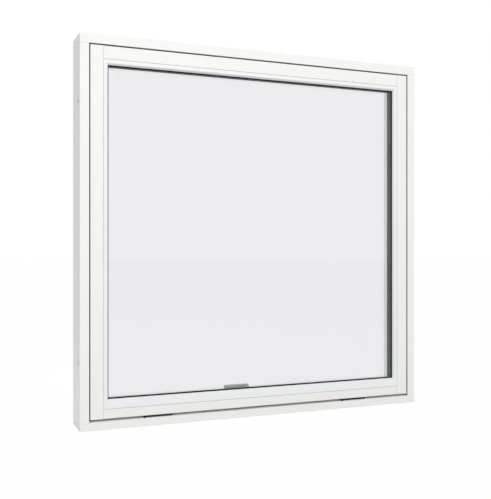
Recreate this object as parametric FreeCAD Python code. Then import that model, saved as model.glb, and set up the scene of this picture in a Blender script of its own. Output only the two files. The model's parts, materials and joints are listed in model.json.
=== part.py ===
"""Outward-opening timber window: a fixed frame, a triple-glazed sash on two sliding stays,
and a crank operator on the sill.  Millimetres.

X runs along the width, Y from the outside to the room, Z up.  The origin is the middle of the
sill's underside.  Two helper measures are used for places:
  depth   distance behind the frame's outer face (the outer face is depth 0)
  inset   distance in from the frame's left or right side face
"""
import FreeCAD, Part
import math
import os
from FreeCAD import Vector

# ---------------------------------------------------------------- driving dimensions
# Frame
frame_width = 1180.0
frame_height = 1190.0
frame_depth = 120.0
head_face = 29.5            # height of the head seen from outside
jamb_face = 28.0            # width of each jamb seen from outside
sill_face = 23.5            # height of the sill's outer edge
sill_fall = 0.125           # rise of the sill's top per unit of depth
rebate_depth = 88.0         # from the outer face to the stop
head_stop_drop = 16.5       # stop below the head's face
sill_stop_rise = 24.5       # stop above the sill's outer edge
stop_margin = 2.0           # stop past the weather seal
soft_edge = 1.5             # rounding of the outer arrises
joint_edge = 1.5            # rounding of the edges that meet at a joint
rail_edge = 2.0             # rounding of the sash's arrises

# Sash
side_gap = 3.5              # between jamb and stile
top_gap = 4.0               # between head and top rail
bottom_gap = 2.55           # between the sash's underside and the sill, where they are nearest
step_gap = 6.3125           # between the sash's raised underside and the sill at its back
sash_setback = 1.0          # sash face behind the frame's outer face
sash_thickness = 80.5
stile_face = 40.0
top_rail_face = 40.1
bottom_rail_face = 29.1
drip_groove = 3.0
drip_groove_depth = 8.0

# Glazing
bead_thickness = 10.5
side_bead = 14.0
top_bead = 15.9
bottom_bead = 28.6
bottom_bead_front = 21.1    # height of its upright face, below the sloped top
bead_slope = 4.5            # width of the slope on the top and side beads' inner edge
bead_slope_depth = 6.0
gasket_thickness = 2.5
gasket_lip = 3.0            # how far the gasket shows past the bead
gasket_cover = 8.0          # gasket hidden behind the bead
pane_thickness = 4.0
cavity = 9.0
glass_cover = 10.5          # glass hidden behind the bead
spacer_inset = 4.0          # spacer in from the glass edge
spacer_height = 7.0
tape_thickness = 3.0
tape_width = 8.5
lip_overlap = 1.0           # inner lip past the side beads' edge
lip_fall = 14.0             # how far the inner lip slopes back towards the room
bottom_lip_fall = 7.0       # and the bottom lip
bottom_lip_drop = 3.5       # bottom lip below the bead's top edge
setting_block_height = 3.5
setting_block_length = 100.0
setting_block_margin = 1.0  # block in from the faces of the glass unit

# Weather seal
seal_thickness = 4.6
seal_width = 7.0
seal_margin = 1.0           # seal in from the stile's edge
sill_seal_margin = 0.5      # seal below the top of the sill's stop

# Stays
stay_depth = 58.0           # depth of the stays' plane of pivots
stay_link = 276.0           # pivot to pivot
stay_top_drop = 10.0        # upper pivot below the top of the sash
stay_side_room = 3.0        # from the track to the step in the sash's edge
track_width = 18.0
track_sheet = 1.5
track_height = 5.0          # track's flanges from the jamb
track_lip = 4.0
track_foot = 22.0           # track below its pivot
track_top_margin = 2.5      # track's end below the head
link_offset = 1.8           # link above the track's lips
link_thickness = 3.0
bar_offset = 0.7            # sash bar above the link
sash_bar_thickness = 3.5
bar_width = 16.0
pivot_radius = 4.0
pivot_head = 6.5
pivot_cap = 1.5
rivet_head = 1.2
running_clearance = 0.05
shoe_length = 18.0
shoe_side_room = 0.3
stack_gap = 0.2             # between parts that turn on each other
opening_angle = 10.5        # degrees, at full opening

# Crank operator
arm_setback = 16.0          # arm pivots behind the stop's face
arm_pivot_spacing = 66.0
arm_length = 360.0
arm_width = 16.0
arm_thickness = 4.0
arm_lift = 4.5              # arm above the operator's base
arm_hub = 11.0
arm_ratio = 3.13            # arm's turn for each degree of opening
button_radius = 4.5
button_height = 7.0
arm_pin_radius = 2.5
clip_thickness = 1.0
clip_width = 3.5
base_thickness = 3.0
base_half_length = 52.0
base_reach_out = 18.0       # base from the pivots' line towards the sash
base_reach_in = 20.0        # and towards the room
cover_height = 17.5
cover_wall = 2.0
cover_edge = 3.0            # rounding of the cover's top
cover_bridge = 14.0         # half width of the cover's outer wall between the arm slots
slot_room = 2.0             # arm slots past the arms' edge
slot_headroom = 3.5         # and above the arms
pillar_radius = 3.5
pillar_inset = 8.0          # pillars and screws from the base's ends
pillar_wall_gap = 1.0
post_radius = 4.0
post_shoulder = 9.0
post_above = 2.5            # posts above the arms
sector_teeth = 54           # teeth on a full circle
tooth_depth = 2.0
mesh_clearance = 0.3
worm_radius = 6.5
worm_core = 4.9
worm_half_length = 7.0
worm_room = 0.6             # around the worm
shaft_tilt = 22.0           # degrees above level, towards the room
shaft_radius = 4.5
journal_radius = 3.5
journal_length = 6.5
bearing_half_width = 6.0
bearing_above = 3.0         # bearing block above the shaft's meshing point
bearing_gap = 1.5           # bearing block in front of the worm
boss_radius = 9.0
boss_end = 34.0             # along the shaft from the mesh point
hub_gap = 0.6
hub_length = 13.4
hub_wall = 3.0              # metal round the shaft in the crank arm's hub
crank_reach = 77.0
crank_tail = 9.0
crank_rise = 7.5            # top edge of the arm over the shaft
crank_fall = 11.0           # and lower edge under it
crank_thickness = 8.0
crank_drop_width = 26.0     # width of the arm's lowered end
crank_corner = 4.0          # rounding of the arm's corners
crank_top_corner = 1.5      # and of the top corner over the knob
crank_edge = 1.0            # rounding round the arm's faces
end_screw_head = 2.4
end_screw_lap = 0.25         # head over the hub, past the shaft
end_screw_radius = 2.0
end_screw_length = 10.0
knob_centre = 64.0
knob_drop = 13.0            # knob below the line of the arm
knob_radius = 7.5
knob_length = 22.0
knob_gap = 1.0
knob_margin = 1.0           # arm round the knob
knob_pin_radius = 3.0
knob_pin_head = 4.5
knob_pin_head_height = 2.0
knob_pin_root = 6.0

# Arm tracks on the sash
arm_track_wall = 2.0
arm_track_inner = 17.0
arm_track_room = 3.7        # walls above the arms
arm_track_rise = 13.0       # top of the track above the arms
arm_track_leg_rise = 6.0    # foot of the leg above the sill's stop
arm_track_margin = 8.0

# Run-up blocks on the sill
run_up_length = 94.0
run_up_offset = 346.0
run_up_front = 8.0
run_up_back = 40.0
run_up_gap = 0.5
run_up_edge = 1.0
run_up_tab = 4.0
run_up_tab_height = 3.5
run_up_tab_reach = 6.5

# Fixings
sleeve_radius = 7.0
sleeve_bore = 3.2
sleeve_depth = 30.0
sleeve_end_distance = 200.0
frame_screw_radius = 3.0
frame_screw_head = 6.0
frame_screw_length = 80.0
small_screw_radius = 1.75
small_screw_head = 3.25
track_screw_length = 22.0
track_screw_first = 40.0    # above the low pivot
track_screw_last = 60.0     # below the high pivot
bar_screw_length = 25.0
bar_screw_end = 30.0        # from the pivots
arm_track_screw_length = 18.0
arm_track_screw_end = 12.0
base_screw_length = 25.0
base_screw_out = 9.0        # from the pivots' line
base_screw_in = 6.0
cover_screw_length = 12.0

# ---------------------------------------------------------------- derived places
half_width = frame_width / 2
head_stop = head_face + head_stop_drop
sill_stop = sill_face + sill_stop_rise
stay_stack = track_height + link_offset + link_thickness + bar_offset + sash_bar_thickness
sash_front = sash_setback
sash_back = sash_setback + sash_thickness
sash_edge = jamb_face + side_gap
sash_step_edge = jamb_face + stay_stack
fitting_step_depth = stay_depth - track_width / 2 - stay_side_room
seal_inset = sash_step_edge + seal_margin
jamb_stop = seal_inset + seal_width + stop_margin
sash_top = frame_height - head_face - top_gap
sash_bottom = sill_face + sill_fall * fitting_step_depth + bottom_gap
sill_step_height = sill_face + sill_fall * sash_back + step_gap
stile_inner = sash_edge + stile_face
bead_back = sash_front + bead_thickness
glass_front = bead_back + gasket_thickness
unit_thickness = 3 * pane_thickness + 2 * cavity
glass_back = glass_front + unit_thickness
lip_front = glass_back + tape_thickness
side_sight = stile_inner + side_bead
top_face_foot = sash_top - top_rail_face
bottom_face_top = sash_bottom + bottom_rail_face
top_sight = top_face_foot - top_bead
bottom_sight = bottom_face_top + bottom_bead
glass_inset = side_sight - glass_cover
glass_top = top_sight + glass_cover
glass_bottom = bottom_sight - glass_cover
glazing_floor = glass_bottom - setting_block_height
pivot_high = sash_top - stay_top_drop
pivot_mid = pivot_high - stay_link
pivot_low = pivot_mid - stay_link
track_face = jamb_face + track_height
link_inset = track_face + link_offset
sash_bar_inset = sash_step_edge - sash_bar_thickness
arm_depth = rebate_depth + arm_setback
arm_pivot = arm_pivot_spacing / 2
arm_tip = arm_pivot + arm_length
arm_angle = arm_ratio * opening_angle
base_front = arm_depth - base_reach_out
base_back = arm_depth + base_reach_in
base_top = sill_stop + base_thickness
cover_top = base_top + cover_height
arm_underside = base_top + arm_lift
arm_top = arm_underside + arm_thickness
mesh_height = arm_underside + arm_thickness / 2
sector_radius = arm_pivot - worm_radius - mesh_clearance
hub_radius = shaft_radius + hub_wall
hub_start = boss_end + hub_gap
hub_end = hub_start + hub_length
crank_face = hub_end
arm_track_top = arm_top + arm_track_rise
arm_track_wall_foot = arm_top + arm_track_room
arm_track_leg_foot = sill_stop + arm_track_leg_rise
tilt = math.radians(shaft_tilt)
shaft_axis = Vector(0, math.cos(tilt), math.sin(tilt))


# ---------------------------------------------------------------- helpers
def at(x, depth, z):
    """A point given by its depth behind the outer face."""
    return Vector(x, depth - frame_depth / 2, z)


def outline(points, radii=None):
    """A closed face through the points, with the given corner roundings."""
    radii = radii or {}
    corners = []
    count = len(points)
    for i, corner in enumerate(points):
        radius = radii.get(i, 0)
        if not radius:
            corners.append((corner, None, corner))
            continue
        before = (points[i - 1] - corner).normalize()
        after = (points[(i + 1) % count] - corner).normalize()
        half = before.getAngle(after) / 2
        run = radius / math.tan(half)
        middle = (before + after).normalize()
        centre = corner + middle * (radius / math.sin(half))
        corners.append((corner + before * run, centre - middle * radius, corner + after * run))
    edges = []
    for i, (start, middle, end) in enumerate(corners):
        if middle is not None:
            edges.append(Part.Arc(start, middle, end).toShape())
        following = corners[(i + 1) % count][0]
        if end.distanceToPoint(following) > 1e-6:
            edges.append(Part.LineSegment(end, following).toShape())
    return Part.Face(Part.Wire(edges))


def along_x(section, x0, x1, radii=None):
    """A bar along X from a section of (depth, z) points."""
    face = outline([at(x0, depth, z) for depth, z in section], radii)
    return face.extrude(Vector(x1 - x0, 0, 0))


def upright(section, z0, z1, radii=None):
    """A left-hand upright bar from a section of (inset, depth) points."""
    face = outline([at(inset - half_width, depth, z0) for inset, depth in section], radii)
    return face.extrude(Vector(0, 0, z1 - z0))


def block(x0, x1, depth0, depth1, z0, z1):
    return Part.makeBox(x1 - x0, depth1 - depth0, z1 - z0, at(x0, depth0, z0))


def rod(radius, start, direction, length):
    return Part.makeCylinder(radius, length, start, direction)


def ring(inset, bottom, top, width, depth0, depth1):
    """A rectangular ring in the plane of the window, its members `width` wide."""
    half = half_width - inset
    outer = block(-half, half, depth0, depth1, bottom, top)
    return outer.cut(block(-half + width, half - width, depth0, depth1, bottom + width, top - width))


def mirrored(shape):
    return shape.mirror(Vector(0, 0, 0), Vector(1, 0, 0))


def screw(head_centre, direction, length, radius=small_screw_radius, head=small_screw_head):
    """A countersunk screw whose flat head ends at head_centre and points along direction."""
    sink = head - radius
    cone = Part.makeCone(head, radius, sink, head_centre, direction)
    return cone.fuse(rod(radius, head_centre, direction, length)).removeSplitter()


def group(solids):
    return Part.makeCompound(solids)


def drilled(shape, tools):
    for tool in tools:
        shape = shape.cut(tool)
    return shape


def spread(first, last, count):
    return [first + (last - first) * i / (count - 1) for i in range(count)]


X_AXIS = Vector(1, 0, 0)
Y_AXIS = Vector(0, 1, 0)
Z_AXIS = Vector(0, 0, 1)


# ---------------------------------------------------------------- screws and sleeves
def frame_screw_set():
    """Two screws at each corner, through the head or sill into the end of the jamb."""
    found = []
    for side in (-1, 1):
        x = side * (half_width - jamb_face / 2)
        for depth in (frame_depth * 0.25, frame_depth * 0.85):
            for z, direction in ((frame_height, -Z_AXIS), (0, Z_AXIS)):
                found.append(screw(at(x, depth, z), direction, frame_screw_length,
                                   frame_screw_radius, frame_screw_head))
    return found


def sleeve_centres():
    return (sleeve_end_distance, frame_height - sleeve_end_distance)


def fixing_sleeves():
    """Threaded sleeves through the jambs that take the wall screws."""
    found = []
    for z in sleeve_centres():
        start = at(-half_width, sleeve_depth, z)
        sleeve = rod(sleeve_radius, start, X_AXIS, jamb_face)
        sleeve = sleeve.cut(rod(sleeve_bore, start, X_AXIS, jamb_face))
        found += [sleeve, mirrored(sleeve)]
    return found


def track_screws():
    """Left-hand track screws, through the track's back into the jamb."""
    first = pivot_low + track_screw_first
    last = pivot_high - track_screw_last
    x = jamb_face + track_sheet - half_width
    return [screw(at(x, stay_depth, z), -X_AXIS, track_screw_length) for z in spread(first, last, 5)]


def sash_bar_screws():
    """Left-hand screws through the sash bar into the stile."""
    first = pivot_mid + bar_screw_end
    last = pivot_high - bar_screw_end
    x = sash_bar_inset - half_width
    return [screw(at(x, stay_depth, z), X_AXIS, bar_screw_length) for z in spread(first, last, 4)]


def arm_track_screws():
    """Left-hand screws through the arm track's leg into the bottom rail."""
    first, last = arm_track_span()
    z = (arm_track_leg_foot + arm_track_wall_foot) / 2
    depth = sash_back + arm_track_wall
    places = spread(first + arm_track_screw_end, last - arm_track_screw_end, 3)
    return [screw(at(x, depth, z), -Y_AXIS, arm_track_screw_length) for x in places]


def base_screws():
    """Four screws through the operator's base into the sill."""
    found = []
    for x in end_places():
        for depth in (arm_depth - base_screw_out, arm_depth + base_screw_in):
            found.append(screw(at(x, depth, base_top), -Z_AXIS, base_screw_length))
    return found


def cover_screws():
    """Two screws through the cover's top into the base's pillars."""
    return [screw(at(x, pillar_depth(), cover_top), -Z_AXIS, cover_screw_length)
            for x in end_places()]


def end_places():
    """Places along X of the pillars and base screws, near the ends of the base."""
    return (pillar_inset - base_half_length, base_half_length - pillar_inset)


def pillar_depth():
    return base_back - cover_wall - pillar_wall_gap - pillar_radius


# ---------------------------------------------------------------- frame
def sill_height(depth):
    return sill_face + sill_fall * depth


def make_head(radii=None):
    section = [(0, frame_height), (frame_depth, frame_height),
               (frame_depth, frame_height - head_stop), (rebate_depth, frame_height - head_stop),
               (rebate_depth, frame_height - head_face), (0, frame_height - head_face)]
    return along_x(section, -half_width, half_width, radii)


def make_sill(radii=None):
    section = [(0, 0), (frame_depth, 0), (frame_depth, sill_stop), (rebate_depth, sill_stop),
               (rebate_depth, sill_height(rebate_depth)), (0, sill_face)]
    return along_x(section, -half_width, half_width, radii)


def make_jamb():
    """A jamb scribed to the square sections of the head and the sill."""
    section = [(0, 0), (jamb_face, 0), (jamb_face, rebate_depth), (jamb_stop, rebate_depth),
               (jamb_stop, frame_depth), (0, frame_depth)]
    bar = upright(section, 0, frame_height, {0: soft_edge, 1: joint_edge, 4: soft_edge, 5: soft_edge})
    return bar.cut(make_head()).cut(make_sill())


def make_weather_seal():
    bottom = sill_stop - seal_width - sill_seal_margin
    top = frame_height - head_stop + seal_width + stop_margin
    return ring(seal_inset, bottom, top, seal_width, rebate_depth - seal_thickness, rebate_depth)


def make_run_up_block(centre):
    """A wedge on the sloped sill that the closing sash slides onto, with a locating tab."""
    top = sash_bottom - run_up_gap
    section = [(run_up_front, sill_height(run_up_front)), (run_up_back, sill_height(run_up_back)),
               (run_up_back, top), (run_up_front, top)]
    start = centre - run_up_length / 2
    body = along_x(section, start, start + run_up_length, {2: run_up_edge, 3: run_up_edge})
    toe = run_up_front - run_up_tab_reach
    tab = along_x([(toe, sill_height(toe)), (run_up_front + 1, sill_height(run_up_front + 1)),
                   (run_up_front + 1, sill_height(toe) + run_up_tab_height),
                   (toe, sill_height(toe) + run_up_tab_height)],
                  start, start + run_up_tab)
    return body.fuse(tab).removeSplitter()


# ---------------------------------------------------------------- sash
def make_stile():
    lip = side_sight + lip_overlap
    section = [(sash_edge, sash_front), (stile_inner, sash_front), (stile_inner, lip_front),
               (lip, lip_front), (lip - lip_fall, sash_back), (sash_step_edge, sash_back),
               (sash_step_edge, fitting_step_depth), (sash_edge, fitting_step_depth)]
    bar = upright(section, sash_bottom, sash_top, {0: rail_edge, 1: joint_edge, 4: soft_edge})
    below = block(-half_width, 0, fitting_step_depth, sash_back + 1, sash_bottom - 1, sill_step_height)
    return bar.cut(below)


def make_top_rail(stiles):
    lip = top_sight - lip_overlap
    section = [(sash_front, top_face_foot), (sash_front, sash_top), (sash_back, sash_top),
               (sash_back, lip + lip_fall), (lip_front, lip), (lip_front, top_face_foot)]
    half = half_width - stile_inner
    bar = along_x(section, -half, half, {0: joint_edge, 1: rail_edge, 3: soft_edge})
    return drilled(bar, stiles)


def make_bottom_rail(stiles):
    lip = bottom_sight - bottom_lip_drop
    groove_top = sash_bottom + drip_groove
    section = [(sash_front, sash_bottom), (drip_groove_depth, sash_bottom),
               (drip_groove_depth, groove_top), (drip_groove_depth + drip_groove, groove_top),
               (drip_groove_depth + drip_groove, sash_bottom), (fitting_step_depth, sash_bottom),
               (fitting_step_depth, sill_step_height), (sash_back, sill_step_height),
               (sash_back, lip - bottom_lip_fall), (lip_front, lip), (lip_front, glazing_floor),
               (bead_back, glazing_floor), (bead_back, bottom_face_top),
               (sash_front, bottom_face_top)]
    half = half_width - stile_inner
    bar = along_x(section, -half, half, {0: rail_edge, 8: soft_edge, 13: joint_edge})
    return drilled(bar, stiles)


def make_top_bead():
    section = [(sash_front, top_face_foot), (sash_front, top_sight + bead_slope),
               (sash_front + bead_slope_depth, top_sight), (bead_back, top_sight),
               (bead_back, top_face_foot)]
    half = half_width - stile_inner
    return along_x(section, -half, half, {0: joint_edge, 1: soft_edge})


def make_bottom_bead():
    section = [(sash_front, bottom_face_top), (sash_front, bottom_face_top + bottom_bead_front),
               (bead_back, bottom_sight), (bead_back, bottom_face_top)]
    half = half_width - stile_inner
    return along_x(section, -half, half, {0: joint_edge, 1: soft_edge})


def make_side_bead(crossing):
    section = [(stile_inner, sash_front), (side_sight - bead_slope, sash_front),
               (side_sight, sash_front + bead_slope_depth), (side_sight, bead_back),
               (stile_inner, bead_back)]
    bar = upright(section, bottom_face_top, top_face_foot, {0: joint_edge, 1: soft_edge})
    cut = drilled(bar, crossing)
    return max(cut.Solids, key=lambda solid: solid.Volume)


def make_glazing_gasket():
    hidden = glass_cover - gasket_cover
    return ring(glass_inset + hidden, glass_bottom + hidden, glass_top - hidden,
                gasket_cover + gasket_lip, bead_back, glass_front)


def make_glazing_tape():
    """Tape between the glass unit and the inner lip, a little lower than the lip all round."""
    edge = glass_cover - tape_width
    half = half_width - glass_inset - edge
    low = bottom_sight - bottom_lip_drop
    outer = block(-half, half, glass_back, lip_front, glazing_floor + setting_block_height,
                  glass_top - edge)
    hole = block(-half + tape_width, half - tape_width, glass_back, lip_front,
                 low, glass_top - edge - tape_width)
    return outer.cut(hole)


def make_pane(depth):
    half = half_width - glass_inset
    return block(-half, half, depth, depth + pane_thickness, glass_bottom, glass_top)


def cavity_depths():
    first = glass_front + pane_thickness
    return (first, first + cavity + pane_thickness)


def make_spacer(depth):
    return ring(glass_inset + spacer_inset, glass_bottom + spacer_inset, glass_top - spacer_inset,
                spacer_height, depth, depth + cavity)


def make_edge_sealant():
    return [ring(glass_inset, glass_bottom, glass_top, spacer_inset, depth, depth + cavity)
            for depth in cavity_depths()]


def make_setting_blocks():
    """Blocks that carry the glass unit on the bottom rail and hold it between the stiles."""
    depth0 = glass_front + setting_block_margin
    depth1 = glass_back - setting_block_margin
    quarter = (half_width - glass_inset) / 2
    length = setting_block_length
    found = [block(x - length / 2, x + length / 2, depth0, depth1, glazing_floor, glass_bottom)
             for x in (-quarter, quarter)]
    for z in (glass_bottom + length, glass_top - 2 * length):
        side = block(stile_inner - half_width, glass_inset - half_width, depth0, depth1, z, z + length)
        found += [side, mirrored(side)]
    return found


# ---------------------------------------------------------------- stays (left-hand)
def make_stay_track():
    low = pivot_low - track_foot
    high = frame_height - head_face - track_top_margin
    side0 = stay_depth - track_width / 2
    side1 = stay_depth + track_width / 2
    inner = track_face - track_sheet
    floor = jamb_face + track_sheet
    section = [(jamb_face, side0), (track_face, side0), (track_face, side0 + track_lip),
               (inner, side0 + track_lip), (inner, side0 + track_sheet),
               (floor, side0 + track_sheet), (floor, side1 - track_sheet),
               (inner, side1 - track_sheet), (inner, side1 - track_lip),
               (track_face, side1 - track_lip), (track_face, side1), (jamb_face, side1)]
    channel = upright(section, low, high)
    foot = at(floor - half_width, stay_depth, pivot_low)
    shoulder = rod(pivot_head, foot, X_AXIS, link_inset - stack_gap - floor)
    pin = rod(pivot_radius, foot, X_AXIS, link_inset + link_thickness + stack_gap + pivot_cap - floor)
    cap_start = at(link_inset + link_thickness + stack_gap - half_width, stay_depth, pivot_low)
    cap = rod(pivot_head, cap_start, X_AXIS, pivot_cap)
    return channel.fuse([shoulder, pin, cap]).removeSplitter()


def bar_plate(inset, thickness, low, high):
    """A flat upright bar with round ends at the two heights."""
    x = inset - half_width
    radius = bar_width / 2
    middle = block(x, x + thickness, stay_depth - radius, stay_depth + radius, low, high)
    ends = [rod(radius, at(x, stay_depth, z), X_AXIS, thickness) for z in (low, high)]
    return middle.fuse(ends).removeSplitter()


def make_stay_link():
    plate = bar_plate(link_inset, link_thickness, pivot_low, pivot_mid)
    holes = [rod(pivot_radius + running_clearance, at(link_inset - 1 - half_width, stay_depth, z),
                 X_AXIS, link_thickness + 2) for z in (pivot_low, pivot_mid)]
    return drilled(plate, holes)


def make_sash_bar():
    """The bar on the stile's edge, with the middle pivot's rivet and the shoe's pin."""
    x = sash_bar_inset - half_width
    radius = bar_width / 2
    plate = block(x, x + sash_bar_thickness, stay_depth - radius, stay_depth + radius,
                  pivot_mid - 1.5 * radius, pivot_high + radius)
    rivet_end = link_inset - stack_gap
    rivet = rod(pivot_radius, at(rivet_end - half_width, stay_depth, pivot_mid),
                X_AXIS, sash_bar_inset - rivet_end)
    head = rod(pivot_head, at(rivet_end - rivet_head - half_width, stay_depth, pivot_mid),
               X_AXIS, rivet_head)
    shoe_floor = jamb_face + track_sheet + 2 * stack_gap
    shoe_pin = rod(pivot_radius, at(shoe_floor - half_width, stay_depth, pivot_high),
                   X_AXIS, sash_bar_inset - shoe_floor)
    return plate.fuse([rivet, head, shoe_pin]).removeSplitter()


def make_stay_shoe():
    """The nylon shoe that slides in the track and turns on the sash bar's upper pin."""
    half = shoe_length / 2
    x0 = jamb_face + track_sheet + stack_gap - half_width
    x1 = track_face - track_sheet - stack_gap - half_width
    x2 = track_face + stack_gap - half_width
    wide = track_width / 2 - track_sheet - shoe_side_room
    narrow = track_width / 2 - track_lip - shoe_side_room
    z0, z1 = pivot_high - half, pivot_high + half
    shoe = block(x0, x1, stay_depth - wide, stay_depth + wide, z0, z1)
    shoe = shoe.fuse(block(x1, x2, stay_depth - narrow, stay_depth + narrow, z0, z1))
    hole = rod(pivot_radius + running_clearance, at(x0, stay_depth, pivot_high), X_AXIS, x2 - x0)
    return shoe.cut(hole).removeSplitter()


# ---------------------------------------------------------------- crank operator
def on_shaft(distance):
    """A point on the shaft's axis, measured from the point where the worm meets the gears."""
    return at(0, arm_depth, mesh_height) + shaft_axis * distance


def make_operator_base():
    plate = block(-base_half_length, base_half_length, base_front, base_back, sill_stop, base_top)
    pieces = []
    for side in (-1, 1):
        pivot = at(side * arm_pivot, arm_depth, base_top)
        pieces.append(rod(post_shoulder, pivot, Z_AXIS, arm_underside - stack_gap - base_top))
        pieces.append(rod(post_radius, pivot, Z_AXIS, arm_top + post_above - base_top))
    for x in end_places():
        height = cover_top - cover_wall - base_top
        pieces.append(rod(pillar_radius, at(x, pillar_depth(), base_top), Z_AXIS, height))
    bearing_back = arm_depth - (worm_half_length + worm_room) * math.cos(tilt) - bearing_gap
    pieces.append(block(-bearing_half_width, bearing_half_width,
                        base_front + cover_wall + stack_gap, bearing_back,
                        base_top, mesh_height + bearing_above))
    base = plate.fuse(pieces).removeSplitter()
    bore_length = arm_setback + worm_half_length
    base = base.cut(rod(journal_radius + running_clearance, on_shaft(-bore_length), shaft_axis,
                        bore_length))
    worm_space = rod(worm_radius + worm_room, on_shaft(-worm_half_length - worm_room), shaft_axis,
                     2 * (worm_half_length + worm_room))
    return base.cut(worm_space)


def sector_face():
    """Outline of the left-hand gear sector: teeth facing the worm over the arm's whole swing."""
    pivot = at(-arm_pivot, arm_depth, arm_underside)
    pitch = 360.0 / sector_teeth
    count = int(arm_angle / pitch) + 2
    root = sector_radius - tooth_depth
    points = [pivot]
    first = -arm_angle - 0.25 * pitch
    for i in range(count):
        centre = first + i * pitch
        for offset, radius in ((-0.28, root), (-0.14, sector_radius), (0.14, sector_radius), (0.28, root)):
            angle = math.radians(centre + offset * pitch)
            points.append(pivot + Vector(radius * math.cos(angle), radius * math.sin(angle), 0))
    return outline(points)


def make_arm():
    """Left-hand arm: hub, gear sector, flat bar and the pin for the sliding button."""
    pivot = at(-arm_pivot, arm_depth, arm_underside)
    tip = at(-arm_tip, arm_depth, arm_underside)
    radius = arm_width / 2
    bar = block(-arm_tip, -arm_pivot, arm_depth - radius, arm_depth + radius, arm_underside, arm_top)
    pieces = [rod(arm_hub, pivot, Z_AXIS, arm_thickness), rod(radius, tip, Z_AXIS, arm_thickness),
              sector_face().extrude(Vector(0, 0, arm_thickness)),
              rod(arm_pin_radius, tip, Z_AXIS, arm_thickness + button_height + stack_gap)]
    arm = bar.fuse(pieces).removeSplitter()
    return arm.cut(rod(post_radius + running_clearance, pivot, Z_AXIS, arm_thickness))


def make_button():
    """The nylon button pressed on the arm's pin, which slides in the sash's track."""
    foot = at(-arm_tip, arm_depth, arm_top + stack_gap)
    return rod(button_radius, foot, Z_AXIS, button_height).cut(
        rod(arm_pin_radius, foot, Z_AXIS, button_height))


def make_arm_clip():
    foot = at(-arm_pivot, arm_depth, arm_top + stack_gap)
    ring_blank = rod(post_radius + clip_width, foot, Z_AXIS, clip_thickness)
    return ring_blank.cut(rod(post_radius, foot, Z_AXIS, clip_thickness))


def make_worm_shaft():
    """Shaft with a worm between its lower journal and the length that carries the crank."""
    pitch = 2 * math.pi * (sector_radius - tooth_depth / 2) / sector_teeth
    core = rod(worm_core, on_shaft(-worm_half_length), shaft_axis, 2 * worm_half_length)
    journal = rod(journal_radius, on_shaft(-worm_half_length - journal_length), shaft_axis,
                  journal_length + 1)
    stem = rod(shaft_radius, on_shaft(worm_half_length), shaft_axis, hub_end - worm_half_length)
    shaft = core.fuse([journal, stem])
    turns = int(2 * worm_half_length / pitch)
    for i in range(turns):
        foot = -turns * pitch / 2 + i * pitch
        low = Part.makeCone(worm_core, worm_radius, pitch * 0.3, on_shaft(foot + pitch * 0.1), shaft_axis)
        high = Part.makeCone(worm_radius, worm_core, pitch * 0.3, on_shaft(foot + pitch * 0.6), shaft_axis)
        crest = rod(worm_radius, on_shaft(foot + pitch * 0.4), shaft_axis, pitch * 0.2)
        shaft = shaft.fuse([low, crest, high])
    return shaft.removeSplitter().cut(crank_screw_solid())


def crank_screw_solid():
    """The screw in the shaft's end, whose head holds the crank arm's hub."""
    head = rod(shaft_radius + end_screw_lap, on_shaft(hub_end), shaft_axis, end_screw_head)
    shank = rod(end_screw_radius, on_shaft(hub_end - end_screw_length), shaft_axis, end_screw_length)
    return head.fuse(shank).removeSplitter()


def crank_placement():
    """Local X points along the crank arm, local Z along the shaft."""
    up = Vector(0, -math.sin(tilt), math.cos(tilt))
    rotation = FreeCAD.Rotation(Vector(-1, 0, 0), up, shaft_axis, "ZXY")
    return FreeCAD.Placement(on_shaft(0), rotation)


def make_crank_arm():
    """A cast arm with a straight top, whose end drops to carry the knob below the arm's line."""
    rise, fall = crank_rise, crank_fall
    foot = crank_face - crank_thickness
    low = knob_drop + knob_radius + knob_margin
    shoulder = crank_reach - crank_drop_width
    section = [(-crank_tail, rise), (-crank_tail, -fall), (shoulder - low + fall, -fall), (shoulder, -low),
               (crank_reach, -low), (crank_reach, rise)]
    points = [Vector(x, y, foot) for x, y in section]
    corners = {i: crank_corner for i in range(5)}
    corners[5] = crank_top_corner
    arm = outline(points, corners).extrude(Vector(0, 0, crank_thickness))
    rims = [edge for edge in arm.Edges if abs(edge.BoundBox.ZLength) < 1e-6]
    arm = arm.makeFillet(crank_edge, rims)
    hub = Part.makeCylinder(hub_radius, hub_length, Vector(0, 0, hub_start))
    bore = Part.makeCylinder(shaft_radius, hub_length, Vector(0, 0, hub_start))
    arm = arm.fuse(hub).removeSplitter().cut(bore)
    arm.Placement = crank_placement()
    return drilled(arm, [knob_pin_solid()])


def knob_pin_solid():
    """The shouldered pin, fixed in the crank arm, that the knob spins on."""
    start = crank_face - knob_pin_root
    end = crank_face + knob_gap + knob_length + stack_gap
    pin = Part.makeCylinder(knob_pin_radius, end - start, Vector(knob_centre, -knob_drop, start))
    head = Part.makeCylinder(knob_pin_head, knob_pin_head_height, Vector(knob_centre, -knob_drop, end))
    solid = pin.fuse(head).removeSplitter()
    solid.Placement = crank_placement()
    return solid


def make_crank_knob():
    """A turned knob that spins on its pin."""
    foot = crank_face + knob_gap
    bore = knob_pin_radius + running_clearance
    top = foot + knob_length
    inner_foot, outer_foot = Vector(bore, 0, foot), Vector(knob_radius * 0.72, 0, foot)
    widest = Vector(knob_radius, 0, foot + knob_length * 0.62)
    outer_top, inner_top = Vector(knob_radius * 0.8, 0, top), Vector(bore, 0, top)
    edges = [Part.LineSegment(inner_foot, outer_foot).toShape(),
             Part.Arc(outer_foot, widest, outer_top).toShape(),
             Part.LineSegment(outer_top, inner_top).toShape(),
             Part.LineSegment(inner_top, inner_foot).toShape()]
    knob = Part.Face(Part.Wire(edges)).revolve(Vector(0, 0, 0), Z_AXIS, 360)
    knob.translate(Vector(knob_centre, -knob_drop, 0))
    knob.Placement = crank_placement().multiply(knob.Placement)
    return knob


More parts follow.
